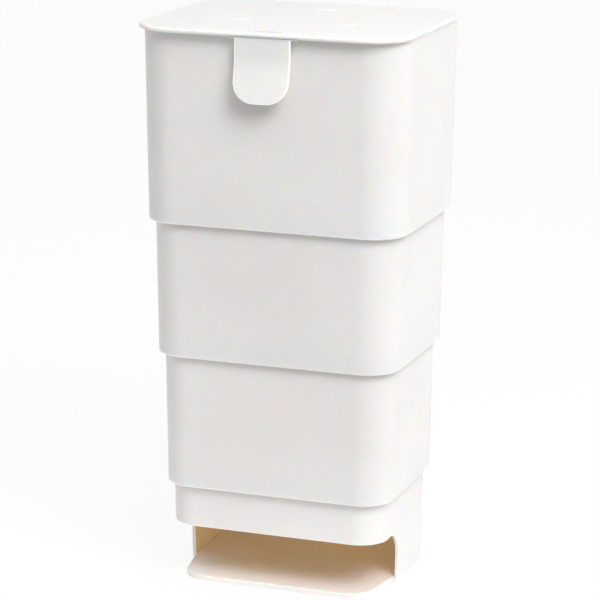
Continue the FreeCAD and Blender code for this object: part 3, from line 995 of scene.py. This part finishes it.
@dataclass
class BaseShell:
    """Smallest stage: a wall with a collar above, and the bag mouth cut out of its front and sides."""

    plan: Plan
    outer: Plan
    bottom: float
    outer_bottom: float
    collar_height: float = 11.5 * MM
    mouth_height: float = 38.9 * MM
    mouth_back: float = -11.7 * MM     # from the middle of the base
    mouth_radius: float = 19.5 * MM
    mouth_edge: float = 0.7 * MM
    bottom_edge: float = 0.25 * MM
    lug_width: float = 16.2 * MM
    lug_reach: float = 1.3 * MM
    lug_low: float = 1.5 * MM
    lug_high: float = 3.3 * MM

    def build(self, finishes: Finishes) -> bpy.types.Object:
        """Build, dress and place the base.

        Args:
            finishes: the materials.

        Returns:
            The base.
        """
        plan = self.plan
        collar_low = self.outer_bottom + COLLAR_RISE
        top = collar_low + self.collar_height
        rim_inset = WALL + COLLAR_CLEARANCE
        rings = [plan.ring(self.bottom + z, inset) for inset, z in rounding(self.bottom_edge, 2)]
        rings += [plan.ring(z) for z in spread(self.bottom + self.bottom_edge, collar_low, 5)[1:]]
        rings.append(self.outer.ring(collar_low, rim_inset + COLLAR_BEVEL))
        rings.append(self.outer.ring(collar_low + COLLAR_BEVEL, rim_inset))
        rings += [
            self.outer.ring(top - drop, rim_inset + inset) for inset, drop in reversed(rounding(RIM_ROUND))
        ]
        outside = len(rings)
        rings += [plan.ring(top - drop, BASE_WALL - inset) for inset, drop in rounding(RIM_ROUND)]
        rings += [
            plan.ring(z, BASE_WALL) for z in spread(top - RIM_ROUND, self.bottom + self.bottom_edge, 6)[1:]
        ]
        rings += [
            plan.ring(self.bottom + z, BASE_WALL - inset)
            for inset, z in reversed(rounding(self.bottom_edge, 2)[:-1])
        ]
        maker = MeshMaker()
        maker.stack(rings, loop=True, slots=[0] * outside + [1] * (len(rings) - outside))
        piece = maker.build("base_shell_moulding", [finishes.shell, finishes.inside])
        cut_pad_pockets(piece, self.outer, self.outer_bottom)
        combine(piece, self.mouth_cutter(), Combine.CUT)
        self.round_mouth(piece)
        for pocket in lug_plans(plan, self.lug_low, self.lug_width, WALL, self.lug_reach):
            combine(piece, prism_z(pocket, self.lug_low, self.lug_high), Combine.CUT)
        smooth(piece)
        return place_piece(piece, "base", "base_shell")

    def mouth_cutter(self) -> bpy.types.Object:
        """Space cut out of the base: the whole front and the front of both sides, rounded at the top rear.

        Returns:
            The cutter.
        """
        back, z, r = self.plan.centre_y + self.mouth_back, self.mouth_height, self.mouth_radius
        far_y, low_z, reach = -200 * MM, -20 * MM, 200 * MM
        section = [(far_y, low_z), (far_y, z)]
        section += [(back - r + r * math.sin(a), z - r + r * math.cos(a)) for a in spread(0, QUARTER, 12)]
        section.append((back, low_z))
        return prism_x(section, -reach, reach)

    def round_mouth(self, piece: bpy.types.Object) -> None:
        """Round the edges that the mouth cutter left.

        Args:
            piece: the base's mesh, just cut.
        """
        back, z, r = self.plan.centre_y + self.mouth_back, self.mouth_height, self.mouth_radius
        near = 0.01 * MM
        facet_sag = 0.06 * MM    # how far the bend's facets can lie off its true arc

        def on_mouth(p: Vector) -> bool:
            """Tell whether a point lies on the cutter's surface.

            Args:
                p: the point.

            Returns:
                True on the top, the back or the bend.
            """
            if p.y < back - r + near and abs(p.z - z) < near:
                return True
            if abs(p.y - back) < near and p.z < z - r + near:
                return True
            in_bend = p.y > back - r - near and p.z > z - r - near
            return in_bend and abs(math.hypot(p.y - back + r, p.z - z + r) - r) < facet_sag

        work = bmesh.new()
        work.from_mesh(piece.data)
        chosen = [
            e for e in work.edges
            if all(on_mouth(v.co) for v in e.verts) and e.calc_face_angle(0.0) > math.radians(50)
        ]
        bmesh.ops.bevel(
            work, geom=chosen, offset=self.mouth_edge, offset_type="OFFSET", segments=4, profile=0.5,
            affect="EDGES", clamp_overlap=True,
        )
        work.to_mesh(piece.data)
        work.free()


@dataclass(frozen=True)
class TrayPlan(Plan):
    """Plan of the floor plate: it fills the base behind, and narrows to rounder corners in front."""

    taper_y: float = 0.0
    front_y: float = 0.0
    taper: float = 0.18
    front_radius: float = 17.0 * MM
    bend_radius: float = 10.0 * MM

    def corners(self) -> list[tuple[float, float, float]]:
        """Find the corners of the tray.

        Returns:
            (x, y, radius) of each corner before rounding, anticlockwise from the rear right.
        """
        w, back = self.half_width, self.centre_y + self.half_depth
        narrow = w - self.taper * (self.taper_y - self.front_y)
        return [
            (w, back, self.radius), (-w, back, self.radius), (-w, self.taper_y, self.bend_radius),
            (-narrow, self.front_y, self.front_radius), (narrow, self.front_y, self.front_radius),
            (w, self.taper_y, self.bend_radius),
        ]


@dataclass
class FloorPlate:
    """Tray under the bags, with a softened top edge, lugs behind and recesses for the feet."""

    base: Plan
    clearance: float = 0.3 * MM
    setback: float = 1.1 * MM          # from the base's outside front plane in to the tray's front edge
    mouth_back: float = -11.7 * MM
    edge: float = 1.2 * MM
    bottom_edge: float = 0.2 * MM
    thickness: float = 3.6 * MM
    lug_width: float = 16.0 * MM
    lug_reach: float = 1.2 * MM
    lug_rise: float = 1.0 * MM
    lug_height: float = 1.6 * MM
    lug_root: float = 1.8 * MM
    foot_recess: float = 1.0 * MM
    foot_play: float = 0.1 * MM

    def build(self, finishes: Finishes) -> bpy.types.Object:
        """Build, dress and place the plate.

        Args:
            finishes: the materials.

        Returns:
            The plate.
        """
        base = self.base
        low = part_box("floor_plate")[0].z
        high = low + self.thickness
        shrink = base.draft * (low - base.at_z) - BASE_WALL - self.clearance
        plan = TrayPlan(
            base.half_width + shrink, base.half_depth + shrink, base.radius + shrink, low, base.centre_y, 0.0,
            base.centre_y + self.mouth_back, base.front(low) + self.setback,
        )
        rings = [plan.ring(low + z, inset) for inset, z in rounding(self.bottom_edge, 2)]
        rings += [plan.ring(high - drop, inset) for inset, drop in reversed(rounding(self.edge))]
        maker = MeshMaker()
        maker.stack(rings, capped=True)
        piece = maker.build("floor_plate_moulding", [finishes.tray])
        for name in ("front_left", "front_right", "rear_left", "rear_right"):
            pad_low, pad_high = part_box("foot_pad_" + name)
            centre, radius = (pad_low + pad_high) / 2, (pad_high.x - pad_low.x) / 2
            hole = circle(centre.x, centre.y, radius + self.foot_play, 48)
            combine(piece, prism_z(hole, low - CUT_PAST, low + self.foot_recess), Combine.CUT)
        lug_low = low + self.lug_rise
        for section in lug_plans(base, lug_low, self.lug_width, self.lug_root, self.lug_reach):
            combine(piece, prism_z(section, lug_low, lug_low + self.lug_height), Combine.JOIN)
        smooth(piece)
        return place_piece(piece, "base", "floor_plate")


# ---------------------------------------------------------------- lid and tab


@dataclass
class LidPanel:
    """Flat lid: soft edges, a locating rib below, two clip-on knuckles, three vents and the tool slots."""

    upper: Plan
    thickness: float = 2.8 * MM
    side_overhang: float = 1.5 * MM
    front_overhang: float = 6.5 * MM
    back_overhang: float = 2.5 * MM
    edge: float = 1.1 * MM
    rib_height: float = 5.0 * MM
    rib_thickness: float = 1.6 * MM
    rib_clearance: float = 0.9 * MM
    rib_edge: float = 0.3 * MM
    hinge_x: tuple[float, float] = (-36.0 * MM, 36.0 * MM)
    knuckle_radius: float = 2.9 * MM
    knuckle_width: float = 14.0 * MM
    pin_play: float = 0.08 * MM
    clip_mouth: float = 1.9 * MM
    clip_depth: float = 10.0 * MM    # from the pin down past the open end
    hinge_slot: tuple[float, float] = (15.0 * MM, 3.6 * MM)
    hinge_slot_gap: float = 1.2 * MM
    catch_slot: tuple[float, float] = (20.0 * MM, 7.0 * MM)
    catch_slot_setback: float = 6.5 * MM
    vent_spread: float = 42.0 * MM
    vent_radius: float = 2.9 * MM
    vent_length: float = 13.0 * MM
    vent_depth: float = 1.7 * MM
    vent_hole: float = 1.9 * MM

    def build(self, finishes: Finishes) -> bpy.types.Object:
        """Build, dress and place the lid.

        Args:
            finishes: the materials.

        Returns:
            The lid.
        """
        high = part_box("lid_panel")[1].z
        low = high - self.thickness
        upper = self.upper
        front = upper.centre_y - upper.half_depth - self.front_overhang
        back = upper.centre_y + upper.half_depth + self.back_overhang
        plan = Plan(
            upper.half_width + self.side_overhang, (back - front) / 2, upper.radius + self.side_overhang, low,
            (back + front) / 2, 0.0,
        )
        rings = [plan.ring(low + z, inset) for inset, z in rounding(self.edge)]
        rings += [plan.ring(high - drop, inset) for inset, drop in reversed(rounding(self.edge))]
        maker = MeshMaker()
        maker.stack(rings, capped=True)
        piece = maker.build("lid_panel_moulding", [finishes.lid])
        combine(piece, self.rib(low), Combine.JOIN)
        for x in self.hinge_x:
            self.add_knuckle(piece, x, low)
        self.cut_slots(piece, front, low, high)
        for i in range(3):
            angle = QUARTER + i * 4 * QUARTER / 3
            x = self.vent_spread * math.cos(angle) + self.vent_length / 2
            y = upper.centre_y + self.vent_spread * math.sin(angle)
            self.cut_vent(piece, x, y, low, high)
        smooth(piece)
        return place_piece(piece, "lid", "lid_panel")

    def rib(self, low: float) -> bpy.types.Object:
        """Rib that drops inside the upper shell. It is open behind, between the starts of the rear corners.

        Args:
            low: underside of the lid.

        Returns:
            The rib.
        """
        plan = self.upper
        inset = WALL + self.rib_clearance
        bottom, root = low - self.rib_height, low + self.thickness / 2
        edge, far = self.rib_edge, inset + self.rib_thickness
        section = [(root, inset), (bottom + edge, inset), (bottom, inset + edge), (bottom, far - edge)]
        section += [(bottom + edge, far), (root, far)]
        maker = MeshMaker()
        rings = [[plan.point(s, z, at) for z, at in section] for s in plan.front_half()]
        maker.stack(rings, capped=True)
        return maker.build("rib", [])

    def add_knuckle(self, piece: bpy.types.Object, x: float, low: float) -> None:
        """Join on one knuckle, which clips over its pin from above.

        Args:
            piece: the lid's mesh.
            x: middle of the knuckle.
            low: underside of the lid.
        """
        pin = HingePin.from_frame()
        start, end = x - self.knuckle_width / 2, x + self.knuckle_width / 2
        root = low + self.thickness / 2
        web_back = pin.y + WALL / 2
        section = [(pin.y - self.knuckle_radius, root)]
        section += [
            (pin.y + self.knuckle_radius * math.cos(a), pin.z + self.knuckle_radius * math.sin(a))
            for a in spread(2 * QUARTER, 4 * QUARTER + math.acos(WALL / 2 / self.knuckle_radius), 40)
        ]
        section.append((web_back, root))
        combine(piece, prism_x(section, start, end), Combine.JOIN)
        bore = circle(pin.y, pin.z, pin.radius + self.pin_play)
        half = self.clip_mouth / 2
        gap = rectangle(pin.y - half, pin.y + half, pin.z - self.clip_depth, pin.z)
        for opening in (bore, gap):
            combine(piece, prism_x(opening, start - CUT_PAST, end + CUT_PAST), Combine.CUT)

    def cut_slots(self, piece: bpy.types.Object, front: float, low: float, high: float) -> None:
        """Cut the slot over the latch hook, and the one in front of each knuckle.

        Args:
            piece: the lid's mesh.
            front: Y of the lid's front edge.
            low: underside of the lid.
            high: top of the lid.
        """
        width, depth = self.catch_slot
        near = front + self.catch_slot_setback
        slot = rectangle(-width / 2, width / 2, near, near + depth)
        combine(piece, prism_z(slot, low - self.rib_height - CUT_PAST, high + CUT_PAST), Combine.CUT)
        width, depth = self.hinge_slot
        far = HingePin.from_frame().y - self.knuckle_radius - self.hinge_slot_gap
        for x in self.hinge_x:
            slot = rectangle(x - width / 2, x + width / 2, far - depth, far)
            combine(piece, prism_z(slot, low - CUT_PAST, high + CUT_PAST), Combine.CUT)

    def cut_vent(self, piece: bpy.types.Object, x: float, y: float, low: float, high: float) -> None:
        """Cut one vent: a teardrop scoop that slopes down to the right, to a hole through the lid.

        Args:
            piece: the lid's mesh.
            x: middle of the scoop's round end.
            y: middle of the scoop.
            low: underside of the lid.
            high: top of the lid.
        """
        reach, radius = self.vent_length, self.vent_radius
        touch = math.acos(radius / reach)
        outline = [(x - reach, y)]
        outline += [
            (x + radius * math.cos(a), y + radius * math.sin(a))
            for a in spread(2 * QUARTER + touch, 6 * QUARTER - touch, 36)
        ]
        slope = self.vent_depth / (reach + radius)
        tip_x = x - reach
        floor = [Vector((px, py, high - slope * (px - tip_x) - 1e-6)) for px, py in outline]
        above = [Vector((px, py, high + CUT_PAST)) for px, py in outline]
        maker = MeshMaker()
        maker.stack([floor, above], capped=True)
        combine(piece, maker.build("scoop", []), Combine.CUT)
        hole = circle(x, y, self.vent_hole, 40)
        combine(piece, prism_z(hole, low - CUT_PAST, high + CUT_PAST), Combine.CUT)


@dataclass
class PullTab:
    """Finger tab: a strip bent forwards, with round lower corners, a wider root and a latch hook behind."""

    width: float = 37.5 * MM
    thickness: float = 1.7 * MM
    corner: float = 14.0 * MM
    straight: float = 11.0 * MM    # from the root down to the bend
    bend_radius: float = 45.0 * MM
    lean: float = math.radians(12.6)
    edge: float = 0.8 * MM
    root_width: float = 47.0 * MM
    root_height: float = 1.0 * MM
    root_depth: float = 3.2 * MM
    lid_gap: float = 0.15 * MM
    hook_width: float = 18.0 * MM
    hook_drop: float = 11.0 * MM
    hook_reach: float = 1.3 * MM
    hook_half_height: float = 1.8 * MM

    def build(self, finishes: Finishes) -> bpy.types.Object:
        """Build, dress and place the tab.

        Args:
            finishes: the materials.

        Returns:
            The tab.
        """
        low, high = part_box("pull_tab")
        top, tip = high.z, low.z
        root_y = low.y + self.forward(top - tip)
        heights = spread(top, tip + self.corner, 14)
        heights += [tip + self.corner * (1 - math.sin(a)) for a in spread(0, QUARTER, 16)][1:-1]
        rings = []
        for z in heights:
            half = self.half_width(max(0.0, tip + self.corner - z))
            rings.append(self.section(root_y - self.forward(top - z), z, half, 0.0))
        for inset, rise in reversed(rounding(self.edge, 3)):
            z = tip + rise
            if z < heights[-1]:
                half = self.half_width(self.corner - rise)
                rings.append(self.section(root_y - self.forward(top - z), z, half, inset))
        maker = MeshMaker()
        maker.stack(rings, capped=True)
        piece = maker.build("pull_tab_moulding", [finishes.tab])
        root_low = top - self.root_height
        root = rectangle(root_y, root_y + self.root_depth, root_low, top)
        combine(piece, prism_x(root, -self.root_width / 2, self.root_width / 2), Combine.JOIN)
        back_y = root_y + self.thickness
        hook_z = top + self.lid_gap - self.hook_drop
        nose_y, start_y = back_y + self.hook_reach, back_y - self.thickness / 2
        hook = [(start_y, hook_z - 2 * self.hook_half_height), (nose_y, hook_z)]
        hook += [(nose_y, hook_z + self.hook_half_height / 3), (start_y, hook_z + self.hook_half_height)]
        combine(piece, prism_x(hook, -self.hook_width / 2, self.hook_width / 2), Combine.JOIN)
        smooth(piece)
        return place_piece(piece, "latch", "pull_tab")

    def half_width(self, below: float) -> float:
        """Half the strip's width, at a depth below the start of its round corners."""
        return self.width / 2 - self.corner + math.sqrt(max(0.0, self.corner ** 2 - below ** 2))

    def forward(self, drop: float) -> float:
        """How far the front face stands ahead of the root at a depth.

        Args:
            drop: distance below the top of the strip.

        Returns:
            The distance, none on the straight run, then along the bend's arc, then along the lean.
        """
        below = drop - self.straight
        if below <= 0:
            return 0.0
        arc_height = self.bend_radius * math.sin(self.lean)
        if below < arc_height:
            return self.bend_radius - math.sqrt(self.bend_radius ** 2 - below ** 2)
        return self.bend_radius * (1 - math.cos(self.lean)) + (below - arc_height) * math.tan(self.lean)

    def section(self, front: float, z: float, half: float, inset: float) -> list[Vector]:
        """Level section through the strip, with rounded sides.

        Args:
            front: Y of the front face.
            z: height.
            half: half width.
            inset: distance in from every face.

        Returns:
            Its points.
        """
        edge = max(self.edge - inset, 0.02 * MM)
        front = front + inset
        back = front + self.thickness - 2 * inset
        side = half - inset - edge

        def corner(x: float, y: float, start: float) -> list[Vector]:
            """Points of a quarter circle round (x, y), from an angle on."""
            angles = spread(start, start + QUARTER, 4)
            return [Vector((x + edge * math.cos(a), y + edge * math.sin(a), z)) for a in angles]

        points = [Vector((x, front, z)) for x in spread(-side, side, 12)]
        points += corner(side, front + edge, -QUARTER)[1:]
        points += corner(side, back - edge, 0.0)
        points += [Vector((x, back, z)) for x in spread(side, -side, 12)][1:]
        points += corner(-side, back - edge, QUARTER)[1:]
        points += corner(-side, front + edge, 2 * QUARTER)[:-1]
        return points


# ---------------------------------------------------------------- studio


@dataclass(frozen=True)
class AreaLight:
    """One soft box.

    Sizes and places are in metres, power in watts.
    """

    name: str
    place: tuple[float, float, float]
    size: tuple[float, float]
    power: float
    colour: str = "FFFFFF"

    def build(self, target: Vector) -> None:
        """Hang the light and turn it to the object.

        Args:
            target: the point that it faces.
        """
        data = bpy.data.lights.new(self.name, "AREA")
        data.shape = "RECTANGLE"
        data.size, data.size_y = self.size
        data.energy = self.power
        data.color = linear(self.colour)[:3]
        light = bpy.data.objects.new(self.name, data)
        bpy.context.scene.collection.objects.link(light)
        light.location = self.place
        light.rotation_mode = "QUATERNION"
        light.rotation_quaternion = (target - Vector(self.place)).to_track_quat("-Z", "Y")


@dataclass(frozen=True)
class Camera:
    """Camera at a fixed angle, aimed at a point."""

    azimuth_deg: float = 19.56
    elevation_deg: float = 13.93
    roll_deg: float = 0.347
    distance: float = 1.7718
    aim: tuple[float, float, float] = (-0.00074, 0.00400, 0.18596)
    lens_mm: float = 159.8
    sensor_mm: float = 36.0

    def build(self) -> None:
        """Make the camera, and make it the scene's own."""
        a, e = math.radians(self.azimuth_deg), math.radians(self.elevation_deg)
        back = Vector((math.sin(a) * math.cos(e), -math.cos(a) * math.cos(e), math.sin(e)))
        data = bpy.data.cameras.new("camera")
        data.lens, data.sensor_width = self.lens_mm, self.sensor_mm
        data.clip_start, data.clip_end = 0.05, 50.0
        camera = bpy.data.objects.new("camera", data)
        bpy.context.scene.collection.objects.link(camera)
        turn = (-back).to_track_quat("-Z", "Y").to_matrix().to_4x4()
        roll = Matrix.Rotation(math.radians(self.roll_deg), 4, "Z")
        camera.matrix_world = Matrix.Translation(Vector(self.aim) + back * self.distance) @ turn @ roll
        bpy.context.scene.camera = camera


@dataclass(frozen=True)
class Studio:
    """Light table with a soft surround, which is brighter on the right and overhead, and a soft box."""

    floor_half: float = 6.0
    floor_colour: str = "606060"
    floor_glow: float = 0.87
    front_glow: float = 0.28       # the table is dimmer in front of the object
    front_way: tuple[float, float] = (0.335, -0.942)
    glow_fade: tuple[float, float] = (0.09, 0.30)
    left_level: float = 0.25
    right_level: float = 0.50
    top_extra: float = 0.75
    lights: tuple[AreaLight, ...] = (
        AreaLight("key_soft_box", (0.92, -0.86, 1.38), (0.8, 0.8), 20.0),
    )

    def build(self) -> None:
        """Make the floor, the surround, the lights and the camera."""
        self.floor()
        self.surround()
        for light in self.lights:
            light.build(Vector((0.0, 0.0, 0.2)))
        Camera().build()
        bpy.context.scene.view_settings.view_transform = "Standard"

    def floor(self) -> None:
        """Pale floor, lit from below as a light table is."""
        maker = MeshMaker()
        half = self.floor_half
        maker.stack([
            [Vector((x, y, z)) for x, y in rectangle(-half, half, -half, half)] for z in (-0.02, 0.0)
        ], capped=True)
        material = new_material("opal_light_table_glass")
        tree = material.node_tree
        place = add_node(tree, "ShaderNodeTexCoord").outputs["Object"]
        drift = add_node(
            tree, "ShaderNodeTexNoise", values={"Scale": 2.0, "Detail": 1.0}, links={"Vector": place},
        ).outputs["Fac"]
        rough = add_node(
            tree, "ShaderNodeMapRange", values={"To Min": 0.55, "To Max": 0.65}, links={"Value": drift},
        ).outputs["Result"]
        forward = add_node(
            tree, "ShaderNodeVectorMath", {"operation": "DOT_PRODUCT"}, {1: (*self.front_way, 0.0)},
            {0: place},
        ).outputs["Value"]
        near, far = self.glow_fade
        glow = add_node(
            tree, "ShaderNodeMapRange", {"interpolation_type": "SMOOTHSTEP"},
            {"From Min": near, "From Max": far, "To Min": self.floor_glow, "To Max": self.front_glow},
            {"Value": forward},
        ).outputs["Result"]
        shader = add_node(
            tree, "ShaderNodeBsdfPrincipled",
            values={
                "Base Color": linear(self.floor_colour), "Emission Color": linear("FFFFFF"),
                "Specular IOR Level": 0.0,
            },
            links={"Roughness": rough, "Emission Strength": glow},
        )
        add_node(tree, "ShaderNodeOutputMaterial", links={"Surface": shader.outputs["BSDF"]})
        maker.build("floor", [material])

    def surround(self) -> None:
        """Soft world: its level rises from left to right, and again overhead."""
        world = bpy.data.worlds.new("surround")
        world.use_nodes = True
        tree = world.node_tree
        tree.nodes.clear()
        heading = add_node(tree, "ShaderNodeTexCoord").outputs["Generated"]
        parts = add_node(tree, "ShaderNodeSeparateXYZ", links={"Vector": heading})
        across = add_node(
            tree, "ShaderNodeMapRange", {"interpolation_type": "SMOOTHSTEP"},
            {"From Min": -0.8, "From Max": 0.8, "To Min": self.left_level, "To Max": self.right_level},
            {"Value": parts.outputs["X"]},
        ).outputs["Result"]
        overhead = add_node(
            tree, "ShaderNodeMapRange", {"interpolation_type": "SMOOTHSTEP"},
            {"From Min": 0.3, "From Max": 1.0, "To Min": 0.0, "To Max": self.top_extra},
            {"Value": parts.outputs["Z"]},
        ).outputs["Result"]
        level = add_node(
            tree, "ShaderNodeMath", {"operation": "ADD"}, links={0: across, 1: overhead},
        ).outputs[0]
        glow = add_node(tree, "ShaderNodeBackground", links={"Strength": level})
        glow.inputs["Color"].default_value = linear("FFFFFF")
        add_node(tree, "ShaderNodeOutputWorld", links={"Surface": glow.outputs["Background"]})
        bpy.context.scene.world = world


def dress_kept_nodes(finishes: Finishes) -> None:
    """Give the small solids that are shown as they are their finishes.

    Args:
        finishes: the materials.
    """
    for name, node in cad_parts.items():
        if "_slide_pad_" in name:
            finish, slot = finishes.slide_pad, "slide_pad_rubber"
        elif name.startswith("foot_pad_"):
            finish, slot = finishes.foot, "foot_rubber"
        elif name.startswith("hinge_pin_"):
            finish, slot = finishes.pin, "hinge_pin_steel"
        else:
            continue
        node.data.materials.clear()
        node.data.materials.append(finish)
        LOG.info("%s dressed as %s", name, finish.name)


def main() -> None:
    """Build every piece in order, dress the kept solids and set up the studio."""
    logging.basicConfig(level=logging.INFO, format="%(name)s: %(message)s")
    finishes = Finishes()
    stack = Stack.from_frame()
    overlap = COLLAR_RISE + 11.5 * MM
    BaseShell(stack.base, stack.lower, stack.foot, stack.lower_bottom).build(finishes)
    FloorPlate(stack.base).build(finishes)
    SlidingShell(
        "lower_shell", "lower_stage", stack.lower, stack.base, stack.middle, stack.lower_bottom,
        stack.middle_bottom + overlap, stack.middle_bottom,
    ).build(finishes)
    SlidingShell(
        "middle_shell", "middle_stage", stack.middle, stack.lower, stack.upper, stack.middle_bottom,
        stack.upper_bottom + overlap, stack.upper_bottom,
    ).build(finishes)
    UpperShell(
        "upper_shell", "upper_stage", stack.upper, stack.middle, None, stack.upper_bottom, stack.rim,
    ).build(finishes)
    LidPanel(stack.upper).build(finishes)
    PullTab().build(finishes)
    dress_kept_nodes(finishes)
    Studio().build()


if __name__ == "__main__":
    main()
